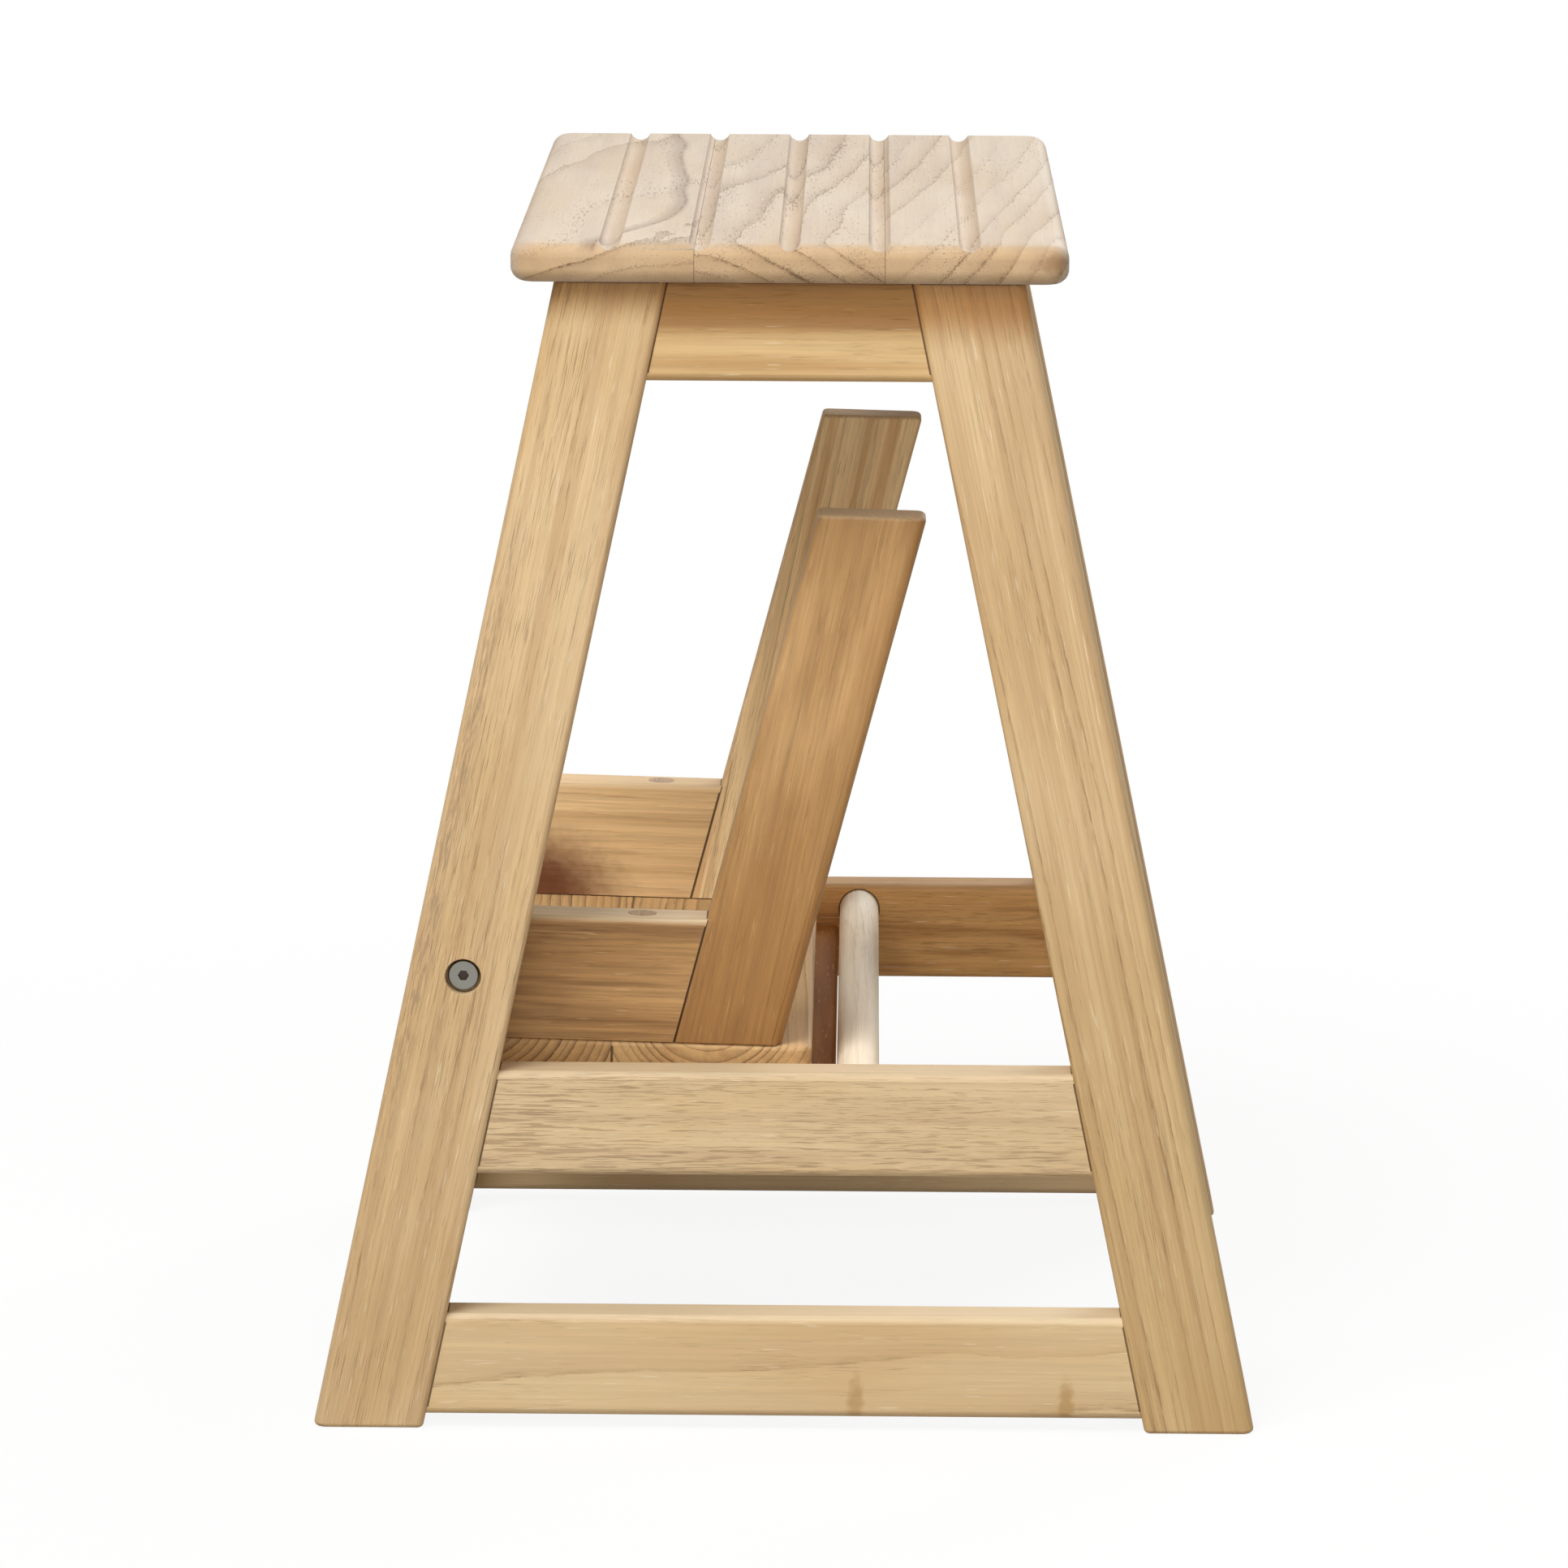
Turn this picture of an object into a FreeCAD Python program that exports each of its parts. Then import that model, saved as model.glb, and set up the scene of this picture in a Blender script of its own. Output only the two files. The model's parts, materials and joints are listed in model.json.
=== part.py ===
import FreeCAD, Part
import math
import os

# Folding step stool of solid wood, in millimetres with +Z up.
# The origin lies on the floor in the middle of the four feet.
# -X is the front, where the step swings out, and -Y is the left side.
# The stool is modelled with its step stowed: upside down between the side frames.

os.makedirs("parts", exist_ok=True)

# Whole stool
stool_height = 500.0
foot_spread = 394.0          # front to back over the feet, at the floor
frame_width = 412.0          # left to right over the legs
leg_splay = 11.83            # degrees from upright, front and back alike

# Seat, glued up from three boards
seat_length = 227.0
seat_width = 426.0
seat_thickness = 17.0
seat_middle_board = 77.5
seat_corner = 10.0
seat_top_round = 7.0
seat_under_round = 6.0

# Drainage grooves, cut with one round-nosed cutter in the seat and the tread
groove_cutter = 4.5          # radius
groove_depth = 3.5
groove_pitch = 36.5
seat_grooves = 5
tread_grooves = 4

# Side frames
leg_width = 45.0             # square to the leg's own length
leg_thickness = 45.0
leg_outer_round = 5.0
leg_inner_round = 3.0
foot_round = 2.0
rail_thickness = 22.0
rail_setback = 2.0           # rails lie this far behind the legs' outer faces
rail_round = 3.5
top_rail_height = 41.0
mid_rail_height = 44.0
mid_rail_above_rest = 19.2   # top of the middle rails over the flat stretcher's top
bottom_rail_height = 43.5
bottom_rail_bottom = 5.5

# Mortise and tenon joints
tenon_length = 22.0
tenon_thickness = 10.0
tenon_shoulder = 7.0
stretcher_tenon = 12.0
glue_gap = 0.1
tenon_end_gap = 0.5

# Stretchers between the middle rails
dowel_radius = 9.0
dowel_cover = 2.5            # wood left above the dowel in the rail
flat_width = 58.0
flat_thickness = 18.0
flat_round = 2.0
stretcher_space = 0.6        # between the flat stretcher and the dowel

# Step that swings on two bolts, sized with its tread level
pivot_height = 193.5
step_play = 3.0              # between each side of the step and the leg beside it
step_side = 22.0             # thickness of the side bars and the step's legs
bar_below_pivot = 17.0
tread_seat_height = 36.0     # underside of the tread above the pivot
bar_inner_end = 21.0         # side bars reach this far behind the pivot
bar_heel_round = 14.0
bar_round = 3.0
step_leg_width = 44.0
step_leg_splay = 13.4
step_leg_place = 87.0        # inner face of the step's leg at the tread, from the pivot
step_leg_outer_round = 4.5
step_leg_inner_round = 3.0
tread_thickness = 20.0
tread_reach = 145.0          # front edge of the tread, from the pivot
tread_length = 170.0
tread_outer_board = 84.0
tread_corner = 6.0
tread_top_round = 5.0
tread_under_round = 2.5
stowed_dip = 1.4             # degrees past upside down, where the tread meets its rest
tread_fall = 1.0             # degrees that the tread falls to the front when it stands
rest_gap = 0.3

# Pivot bolts, washers and threaded inserts
bolt_radius = 3.0
bolt_length = 50.0
bolt_head_radius = 6.5
bolt_head_height = 3.5
bolt_head_chamfer = 0.6
bolt_socket = 4.0            # across the flats of the hexagon
bolt_socket_depth = 2.2
bolt_recess_radius = 7.45
bolt_recess_depth = 7.0
running_fit = 0.08
face_play = 0.3
washer_radius = 9.0
insert_radius = 5.0
insert_length = 15.0
insert_flange_radius = 6.5
insert_flange = 0.8
thread_fit = 0.05

# Wood screws, plugs and loose dowels
screw_radius = 2.25
screw_head_radius = 4.3
screw_head_height = 2.8
screw_tip = 5.0
screw_hold = 11.5            # length of screw in the seat or the tread
seat_screw_depth = 16.0      # counterbore up into the top rail
seat_screw_places = (-24.0, 24.0)
seat_dowel_radius = 5.0
seat_dowel_inset = 15.0      # from the leg's inner side, clear of the top rail's tenon
seat_dowel_in_leg = 20.0
seat_dowel_in_seat = 9.5
plug_radius = 5.8
plug_length = 10.0
plug_places = (18.0, 72.0)   # from the pivot towards the tread's front edge
step_dowel_radius = 4.0
step_dowel_in_bar = 12.0
step_dowel_in_leg = 12.0
step_dowel_heights = (5.0, 23.0)
tread_dowel_in_leg = 20.0
tread_dowel_in_tread = 11.0

# Places worked out from the sizes above
splay_run = math.tan(math.radians(leg_splay))
leg_run = leg_width / math.cos(math.radians(leg_splay))
seat_underside = stool_height - seat_thickness
frame_face = frame_width / 2
leg_inside = frame_face - leg_thickness
seat_dowel_y = leg_inside + seat_dowel_inset
rail_face = frame_face - rail_setback
rail_inside = rail_face - rail_thickness
rail_middle_y = rail_face - rail_thickness / 2
step_face = leg_inside - step_play
step_inside = step_face - step_side
step_middle_y = step_face - step_side / 2
step_leg_slope = math.tan(math.radians(step_leg_splay))
step_leg_run = step_leg_width / math.cos(math.radians(step_leg_splay))
tread_top = tread_seat_height + tread_thickness


def leg_inner_x(height):
    """Distance of a leg's inner face from the middle of the stool."""
    return foot_spread / 2 - splay_run * height - leg_run


pivot_x = -(leg_inner_x(pivot_height) + leg_run / 2)
pivot = FreeCAD.Vector(pivot_x, 0, pivot_height)


def step_leg_inner(rise):
    """Distance from the pivot to the inner face of the step's leg, at a height above the pivot."""
    return step_leg_place + (tread_seat_height - rise) * step_leg_slope


def step_foot_drop():
    """Depth of the feet below the pivot that puts their front edges on the floor."""
    fall = math.radians(tread_fall)
    reach = step_leg_inner(-pivot_height) + step_leg_run
    return (pivot_height - reach * math.sin(fall)) / math.cos(fall)


def rest_top():
    """Height of the flat stretcher's top, just under the stowed tread's lowest line."""
    dip = math.radians(stowed_dip)
    lowest = tread_reach - tread_top_round
    return pivot_height - tread_top * math.cos(dip) - lowest * math.sin(dip) - rest_gap


mid_rail_top = rest_top() + mid_rail_above_rest
dowel_z = mid_rail_top - dowel_cover - dowel_radius
dowel_x = 30.0
flat_back = dowel_x - dowel_radius - stretcher_space
flat_front = flat_back - flat_width


# Shapes

def box(x_low, x_high, y_low, y_high, z_low, z_high):
    """Box between the given limits."""
    corner = FreeCAD.Vector(x_low, y_low, z_low)
    return Part.makeBox(x_high - x_low, y_high - y_low, z_high - z_low, corner)


def plate(outline, y_low, y_high):
    """Flat piece with an outline of (x, z) points and its thickness along Y."""
    points = [FreeCAD.Vector(x, y_low, z) for x, z in outline]
    wire = Part.makePolygon(points + points[:1])
    return Part.Face(wire).extrude(FreeCAD.Vector(0, y_high - y_low, 0))


def rod_y(radius, x, z, y_low, y_high):
    """Cylinder along Y."""
    return Part.makeCylinder(radius, y_high - y_low, FreeCAD.Vector(x, y_low, z), FreeCAD.Vector(0, 1, 0))


def rod_z(radius, x, y, z_low, z_high):
    """Cylinder along Z."""
    return Part.makeCylinder(radius, z_high - z_low, FreeCAD.Vector(x, y, z_low))


def rod_x(radius, x_low, x_high, y, z):
    """Cylinder along X."""
    return Part.makeCylinder(radius, x_high - x_low, FreeCAD.Vector(x_low, y, z), FreeCAD.Vector(1, 0, 0))


def middle(edge):
    """Point halfway along an edge."""
    return edge.valueAt((edge.FirstParameter + edge.LastParameter) / 2)


def near(value, target):
    """True where two sizes agree within a hundredth of a millimetre."""
    return abs(value - target) < 0.01


def rounded(solid, radius, wanted):
    """Solid with a round on every edge whose halfway point is wanted."""
    edges = [edge for edge in solid.Edges if wanted(middle(edge))]
    return solid.makeFillet(radius, edges)


def joined(solids):
    """One clean solid from solids that meet."""
    return solids[0].fuse(solids[1:]).removeSplitter()


def cut_by(solid, tools):
    """Solid with every tool taken out of it."""
    for tool in tools:
        solid = solid.cut(tool)
    return solid


def other_end(solid):
    """Copy mirrored from the front to the back."""
    return solid.mirror(FreeCAD.Vector(0, 0, 0), FreeCAD.Vector(1, 0, 0))


def other_side(solid):
    """Copy mirrored from the left to the right."""
    return solid.mirror(FreeCAD.Vector(0, 0, 0), FreeCAD.Vector(0, 1, 0))


def on_both_sides(solids):
    """The solids with their mirrored copies, as one group."""
    return solids + [other_side(solid) for solid in solids]


# Side frames

def tenon(bottom, height, growth, end_growth):
    """Tenoned core of a left rail, grown by a clearance where it shapes a mortise."""
    low = bottom + tenon_shoulder - growth
    high = bottom + height - tenon_shoulder + growth
    reach = tenon_length + end_growth
    outline = [
        (-leg_inner_x(low) - reach, low),
        (leg_inner_x(low) + reach, low),
        (leg_inner_x(high) + reach, high),
        (-leg_inner_x(high) - reach, high),
    ]
    half = tenon_thickness / 2 + growth
    return plate(outline, -rail_middle_y - half, -rail_middle_y + half)


def rail(bottom, height, round_top):
    """Left rail between the front and back legs, with a tenon at each end."""
    top = bottom + height
    outline = [
        (-leg_inner_x(bottom), bottom),
        (leg_inner_x(bottom), bottom),
        (leg_inner_x(top), top),
        (-leg_inner_x(top), top),
    ]
    body = plate(outline, -rail_face, -rail_inside)

    def long_edge(point):
        on_level = near(point.z, bottom) or (round_top and near(point.z, top))
        on_face = near(point.y, -rail_face) or near(point.y, -rail_inside)
        return on_level and on_face

    body = rounded(body, rail_round, long_edge)
    return joined([body, tenon(bottom, height, 0, 0)])


rail_levels = (
    (seat_underside - top_rail_height, top_rail_height),
    (mid_rail_top - mid_rail_height, mid_rail_height),
    (bottom_rail_bottom, bottom_rail_height),
)


def seat_dowel_x():
    """Distance of the seat dowels from the middle: the centre of each leg's top."""
    return leg_inner_x(seat_underside) + leg_run / 2


def leg():
    """Left leg, as it stands at the back, with its mortises and its dowel hole."""
    inner_foot = leg_inner_x(0)
    inner_top = leg_inner_x(seat_underside)
    outline = [
        (inner_foot, 0),
        (inner_foot + leg_run, 0),
        (inner_top + leg_run, seat_underside),
        (inner_top, seat_underside),
    ]
    solid = plate(outline, -frame_face, -leg_inside)

    def outer_edge(point):
        return near(point.x, leg_inner_x(point.z) + leg_run)

    def inner_edge(point):
        return near(point.x, leg_inner_x(point.z))

    def long_edge(point):
        return 1 < point.z < seat_underside - 1

    solid = rounded(solid, leg_outer_round, lambda point: long_edge(point) and outer_edge(point))
    solid = rounded(solid, leg_inner_round, lambda point: long_edge(point) and inner_edge(point))
    solid = rounded(solid, foot_round, lambda point: near(point.z, 0))
    mortises = [tenon(bottom, height, glue_gap, tenon_end_gap) for bottom, height in rail_levels]
    dowel_hole = rod_z(
        seat_dowel_radius + glue_gap,
        seat_dowel_x(),
        -seat_dowel_y,
        seat_underside - seat_dowel_in_leg - tenon_end_gap,
        seat_underside,
    )
    return cut_by(solid, mortises + [dowel_hole])


def front_leg():
    """Left front leg, bored and counterbored for the pivot bolt."""
    bore = rod_y(bolt_radius + running_fit, pivot_x, pivot_height, -frame_face, -leg_inside)
    recess = rod_y(
        bolt_recess_radius,
        pivot_x,
        pivot_height,
        -frame_face,
        -frame_face + bolt_recess_depth,
    )
    return cut_by(other_end(leg()), [bore, recess])


def top_rail():
    """Left top rail, counterbored from below for the seat screws."""
    bottom, height = rail_levels[0]
    holes = []
    for x in seat_screw_places:
        head_room = rod_z(
            screw_head_radius + 0.8,
            x,
            -rail_middle_y,
            bottom,
            bottom + seat_screw_depth,
        )
        shank_room = rod_z(screw_radius + glue_gap, x, -rail_middle_y, bottom, seat_underside)
        holes += [head_room, shank_room]
    return cut_by(rail(bottom, height, False), holes)


def mid_rail():
    """Left middle rail, with blind sockets for the two stretchers."""
    bottom, height = rail_levels[1]
    depth = stretcher_tenon + tenon_end_gap
    dowel_socket = rod_y(
        dowel_radius + glue_gap,
        dowel_x,
        dowel_z,
        -rail_inside - depth,
        -rail_inside,
    )
    flat_socket = flat_tenon(glue_gap, tenon_end_gap)
    return cut_by(rail(bottom, height, True), [dowel_socket, flat_socket])


# Stretchers

def flat_tenon(growth, end_growth):
    """Tenoned core of the flat stretcher, grown by a clearance where it shapes a socket."""
    reach = rail_inside + stretcher_tenon + end_growth
    top = rest_top()
    return box(
        flat_front + tenon_shoulder - growth,
        flat_back - tenon_shoulder + growth,
        -reach,
        reach,
        top - flat_thickness + flat_thickness / 4 - growth,
        top - flat_thickness / 4 + growth,
    )


def flat_stretcher():
    """Board across the middle rails that the stowed tread rests on."""
    top = rest_top()
    body = box(flat_front, flat_back, -rail_inside, rail_inside, top - flat_thickness, top)

    def long_edge(point):
        return near(point.y, 0)

    body = rounded(body, flat_round, long_edge)
    return joined([body, flat_tenon(0, 0)])


def dowel_stretcher():
    """Round dowel across the middle rails."""
    reach = rail_inside + stretcher_tenon
    return rod_y(dowel_radius, dowel_x, dowel_z, -reach, reach)


# Grooved slabs

def grooved_slab(x_low, x_high, width, z_low, z_high, corner, top_round, under_round, grooves):
    """Slab with rounded corners and edges, and grooves across its top along Y."""
    half = width / 2
    slab = box(x_low, x_high, -half, half, z_low, z_high)
    slab = rounded(slab, corner, lambda point: near(point.z, (z_low + z_high) / 2))
    slab = rounded(slab, top_round, lambda point: near(point.z, z_high))
    slab = rounded(slab, under_round, lambda point: near(point.z, z_low))
    centre = (x_low + x_high) / 2
    cutter_z = z_high + groove_cutter - groove_depth
    for index in range(grooves):
        x = centre + (index - (grooves - 1) / 2) * groove_pitch
        slab = slab.cut(rod_y(groove_cutter, x, cutter_z, -half - 1, half + 1))
    return slab


def board_of(slab, x_low, x_high):
    """The part of a slab between two glue lines."""
    bounds = slab.BoundBox
    return slab.common(box(
        x_low,
        x_high,
        bounds.YMin - 1,
        bounds.YMax + 1,
        bounds.ZMin - 1,
        bounds.ZMax + 1,
    ))


def seat_boards():
    """Front, middle and back boards of the seat, bored from below."""
    half = seat_length / 2
    slab = grooved_slab(
        -half,
        half,
        seat_width,
        seat_underside,
        stool_height,
        seat_corner,
        seat_top_round,
        seat_under_round,
        seat_grooves,
    )
    holes = []
    for x in seat_screw_places:
        holes.append(rod_z(
            screw_radius + glue_gap,
            x,
            -rail_middle_y,
            seat_underside,
            seat_underside + screw_hold + tenon_end_gap,
        ))
    for x in (-seat_dowel_x(), seat_dowel_x()):
        holes.append(rod_z(
            seat_dowel_radius + glue_gap,
            x,
            -seat_dowel_y,
            seat_underside,
            seat_underside + seat_dowel_in_seat + tenon_end_gap,
        ))
    slab = cut_by(slab, on_both_sides(holes))
    glue_line = seat_middle_board / 2
    return {
        "seat_board_front": board_of(slab, -half, -glue_line),
        "seat_board_middle": board_of(slab, -glue_line, glue_line),
        "seat_board_back": board_of(slab, glue_line, half),
    }


# Fasteners that point up

def wood_screw(x, y, head_z, tip_z):
    """Wood screw that points up, with a tapered head under its shank."""
    base = FreeCAD.Vector(x, y, head_z)
    head = Part.makeCone(screw_head_radius, screw_radius, screw_head_height, base)
    shank = rod_z(screw_radius, x, y, head_z, tip_z - screw_tip)
    tip = Part.makeCone(screw_radius, 0, screw_tip, FreeCAD.Vector(x, y, tip_z - screw_tip))
    return joined([head, shank, tip])


def seat_screws():
    """Screws up through the top rails into the middle board of the seat."""
    rail_bottom = rail_levels[0][0]
    head_z = rail_bottom + seat_screw_depth - screw_head_height
    tip_z = seat_underside + screw_hold
    return on_both_sides([wood_screw(x, -rail_middle_y, head_z, tip_z) for x in seat_screw_places])


def seat_dowels():
    """Dowels from the legs' tops up into the front and back boards of the seat."""
    dowels = []
    for x in (-seat_dowel_x(), seat_dowel_x()):
        dowels.append(rod_z(
            seat_dowel_radius,
            x,
            -seat_dowel_y,
            seat_underside - seat_dowel_in_leg,
            seat_underside + seat_dowel_in_seat,
        ))
    return on_both_sides(dowels)


# Step, built with its tread level in front of the stool.
# A place on it is given by its reach in front of the pivot and its rise above it.

def in_front(reach):
    """X of a place on the level step."""
    return pivot_x - reach


def above(rise):
    """Z of a place on the level step."""
    return pivot_height + rise


def step_plate(outline):
    """Left side piece of the level step, from (reach, rise) points."""
    return plate([(in_front(reach), above(rise)) for reach, rise in outline], -step_face, -step_inside)


def plug_holes():
    """Holes for the tread screws and their plugs, in the left side bar and the tread."""
    holes = []
    for reach in plug_places:
        plug_room = rod_z(
            plug_radius + glue_gap,
            in_front(reach),
            -step_middle_y,
            above(-bar_below_pivot),
            above(plug_length + screw_head_height - bar_below_pivot),
        )
        shank_room = rod_z(
            screw_radius + glue_gap,
            in_front(reach),
            -step_middle_y,
            above(-bar_below_pivot),
            above(tread_seat_height + screw_hold + tenon_end_gap),
        )
        holes += [plug_room, shank_room]
    return holes


def step_dowel(rise, growth, end_growth):
    """Loose dowel across the joint of the left side bar and its leg."""
    joint = step_leg_inner(rise)
    return rod_x(
        step_dowel_radius + growth,
        in_front(joint + step_dowel_in_leg + end_growth),
        in_front(joint - step_dowel_in_bar - end_growth),
        -step_middle_y,
        above(rise),
    )


def tread_dowel(growth, end_growth):
    """Loose dowel from the top of the step's left leg into the tread."""
    reach = step_leg_place + step_leg_run / 2
    return rod_z(
        step_dowel_radius + growth,
        in_front(reach),
        -step_middle_y,
        above(tread_seat_height - tread_dowel_in_leg - end_growth),
        above(tread_seat_height + tread_dowel_in_tread + end_growth),
    )


def side_bar():
    """Left side bar: it hangs on the pivot and carries the tread."""
    low = -bar_below_pivot
    outline = [
        (-bar_inner_end, low),
        (step_leg_inner(low), low),
        (step_leg_place, tread_seat_height),
        (-bar_inner_end, tread_seat_height),
    ]
    solid = step_plate(outline)
    heel_x = in_front(-bar_inner_end)
    solid = rounded(
        solid,
        bar_heel_round,
        lambda point: near(point.x, heel_x) and near(point.z, above(low)),
    )

    def open_edge(point):
        on_face = near(point.y, -step_face) or near(point.y, -step_inside)
        at_tread = near(point.z, above(tread_seat_height))
        at_leg = near(point.x, in_front(step_leg_inner(point.z - pivot_height)))
        return on_face and not at_tread and not at_leg

    solid = rounded(solid, bar_round, open_edge)
    insert_room = rod_y(
        insert_radius + glue_gap,
        pivot_x,
        pivot_height,
        -step_face,
        -step_face + insert_length + tenon_end_gap,
    )
    flange_room = rod_y(
        insert_flange_radius + glue_gap,
        pivot_x,
        pivot_height,
        -step_face,
        -step_face + insert_flange,
    )
    dowel_rooms = [step_dowel(rise, glue_gap, tenon_end_gap) for rise in step_dowel_heights]
    return cut_by(solid, plug_holes() + [insert_room, flange_room] + dowel_rooms)


def step_leg():
    """Left leg of the step, from the underside of the tread to the floor."""
    joint_end = -bar_below_pivot
    drop = step_foot_drop()
    upper = step_plate([
        (step_leg_place, tread_seat_height),
        (step_leg_place + step_leg_run, tread_seat_height),
        (step_leg_inner(joint_end) + step_leg_run, joint_end),
        (step_leg_inner(joint_end), joint_end),
    ])
    lower = step_plate([
        (step_leg_inner(joint_end), joint_end),
        (step_leg_inner(joint_end) + step_leg_run, joint_end),
        (step_leg_inner(-drop) + step_leg_run, -drop),
        (step_leg_inner(-drop), -drop),
    ])

    def inner_edge(point):
        return near(point.x, in_front(step_leg_inner(point.z - pivot_height)))

    def outer_edge(point):
        return near(point.x, in_front(step_leg_inner(point.z - pivot_height) + step_leg_run))

    def on_face(point):
        return near(point.y, -step_face) or near(point.y, -step_inside)

    lower = rounded(lower, step_leg_inner_round, lambda point: inner_edge(point) and on_face(point))
    solid = joined([upper, lower])
    solid = rounded(solid, step_leg_outer_round, lambda point: outer_edge(point) and on_face(point))
    solid = rounded(solid, foot_round, lambda point: near(point.z, above(-drop)))
    rooms = [step_dowel(rise, glue_gap, tenon_end_gap) for rise in step_dowel_heights]
    return cut_by(solid, rooms + [tread_dowel(glue_gap, tenon_end_gap)])


def tread_boards():
    """Outer and inner boards of the level tread, bored from below."""
    front = in_front(tread_reach)
    slab = grooved_slab(
        front,
        front + tread_length,
        step_face * 2,
        above(tread_seat_height),
        above(tread_top),
        tread_corner,
        tread_top_round,
        tread_under_round,
        tread_grooves,
    )
    holes = plug_holes() + [tread_dowel(glue_gap, tenon_end_gap)]
    slab = cut_by(slab, on_both_sides(holes))
    glue_line = front + tread_outer_board
    return {
        "tread_board_outer": board_of(slab, front, glue_line),
        "tread_board_inner": board_of(slab, glue_line, front + tread_length),
    }


def tread_screws():
    """Screws up through the side bars into the tread."""
    head_z = above(plug_length - bar_below_pivot)
    tip_z = above(tread_seat_height + screw_hold)
    left = [wood_screw(in_front(reach), -step_middle_y, head_z, tip_z) for reach in plug_places]
    return on_both_sides(left)


def screw_plugs():
    """Wooden plugs that cover the tread screws."""
    plugs = []
    for reach in plug_places:
        plugs.append(rod_z(
            plug_radius,
            in_front(reach),
            -step_middle_y,
            above(-bar_below_pivot),
            above(plug_length - bar_below_pivot),
        ))
    return on_both_sides(plugs)


def step_dowels():
    """Loose dowels that hold the step's legs to its side bars and tread."""
    left = [step_dowel(rise, 0, 0) for rise in step_dowel_heights]
    return on_both_sides(left + [tread_dowel(0, 0)])


def hexagon_socket(y_low, y_high):
    """Hexagonal prism along Y at the pivot."""
    corner_radius = bolt_socket / 2 / math.cos(math.radians(30))
    outline = []
    for index in range(6):
        turn = math.radians(60 * index)
        outline.append((
            pivot_x + corner_radius * math.cos(turn),
            pivot_height + corner_radius * math.sin(turn),
        ))
    return plate(outline, y_low, y_high)


def pivot_bolt():
    """Left pivot bolt: a flat head in the leg's recess, and a shank into the side bar."""
    seat_y = -frame_face + bolt_recess_depth
    under_head = seat_y - face_play
    head_top = under_head - bolt_head_height
    head = rod_y(bolt_head_radius, pivot_x, pivot_height, head_top, under_head)
    rim = [edge for edge in head.Edges if near(middle(edge).y, head_top)]
    head = head.makeChamfer(bolt_head_chamfer, rim)
    socket = hexagon_socket(head_top, head_top + bolt_socket_depth)
    shank = rod_y(bolt_radius, pivot_x, pivot_height, under_head, under_head + bolt_length)
    return joined([head, shank]).cut(socket)


def pivot_washer():
    """Left washer, between the side bar and the leg."""
    outside = -step_face - step_play + face_play
    ring = rod_y(washer_radius, pivot_x, pivot_height, outside, -step_face)
    return ring.cut(rod_y(bolt_radius + thread_fit, pivot_x, pivot_height, outside, -step_face))


def threaded_insert():
    """Left threaded insert, set in the side bar."""
    body = rod_y(insert_radius, pivot_x, pivot_height, -step_face, -step_face + insert_length)
    flange = rod_y(
        insert_flange_radius,
        pivot_x,
        pivot_height,
        -step_face,
        -step_face + insert_flange,
    )
    bore = rod_y(
        bolt_radius + thread_fit,
        pivot_x,
        pivot_height,
        -step_face,
        -step_face + insert_length,
    )
    return joined([body, flange]).cut(bore)


def stowed(solid):
    """The solid turned with the step from its level place to its stowed place."""
    turned = solid.copy()
    turned.rotate(pivot, FreeCAD.Vector(0, 1, 0), 180 + stowed_dip)
    return turned


# Assembly

def frame_nodes():
    """Every piece that stands still."""
    nodes = seat_boards()
    bottom_rail_level, bottom_rail_size = rail_levels[2]
    left = {
        "front_leg": front_leg(),
        "back_leg": leg(),
        "top_rail": top_rail(),
        "mid_rail": mid_rail(),
        "bottom_rail": rail(bottom_rail_level, bottom_rail_size, True),
    }
    for name, solid in left.items():
        nodes["left_" + name] = solid
        nodes["right_" + name] = other_side(solid)
    nodes["flat_stretcher"] = flat_stretcher()
    nodes["dowel_stretcher"] = dowel_stretcher()
    nodes["seat_screws"] = Part.Compound(seat_screws())
    nodes["seat_dowels"] = Part.Compound(seat_dowels())
    return nodes


def step_nodes():
    """Every piece that swings, level in front of the stool."""
    nodes = tread_boards()
    left = {
        "side_bar": side_bar(),
        "step_leg": step_leg(),
        "pivot_bolt": pivot_bolt(),
        "pivot_washer": pivot_washer(),
        "threaded_insert": threaded_insert(),
    }
    for name, solid in left.items():
        nodes["left_" + name] = solid
        nodes["right_" + name] = other_side(solid)
    nodes["tread_screws"] = Part.Compound(tread_screws())
    nodes["screw_plugs"] = Part.Compound(screw_plugs())
    nodes["step_dowels"] = Part.Compound(step_dowels())
    return nodes


def build():
    """Write one file for each piece."""
    nodes = frame_nodes()
    for name, solid in step_nodes().items():
        nodes[name] = stowed(solid)
    for name, solid in nodes.items():
        if not solid.isValid() or solid.Volume <= 0:
            raise ValueError(name + " isn't a sound solid")
        solid.exportStep(os.path.join("parts", name + ".step"))
        print("%-20s %2d solids %10.0f mm3" % (name, len(solid.Solids), solid.Volume))
    print("pivot at x %.3f, z %.3f" % (pivot.x, pivot.z))
    print("travel of the step %.1f degrees" % (180 + stowed_dip + tread_fall))
    print("flat stretcher top %.2f" % rest_top())


build()
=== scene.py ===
# %% [markdown]
# # A folding step stool in teak
# The stool is a solid wood seat on two A-shaped side frames. Between them hangs a small step with its
# own legs, which turns over two bolts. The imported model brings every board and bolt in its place, in
# metres, with Z up and the step's side facing -X. This lesson gives each board its eased edges and its
# own piece of wood, and sets up the camera, the floor and the light.

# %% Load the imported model
import json
import math

import bmesh
import bpy
from mathutils import Matrix, Vector
from mathutils.bvhtree import BVHTree


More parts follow.
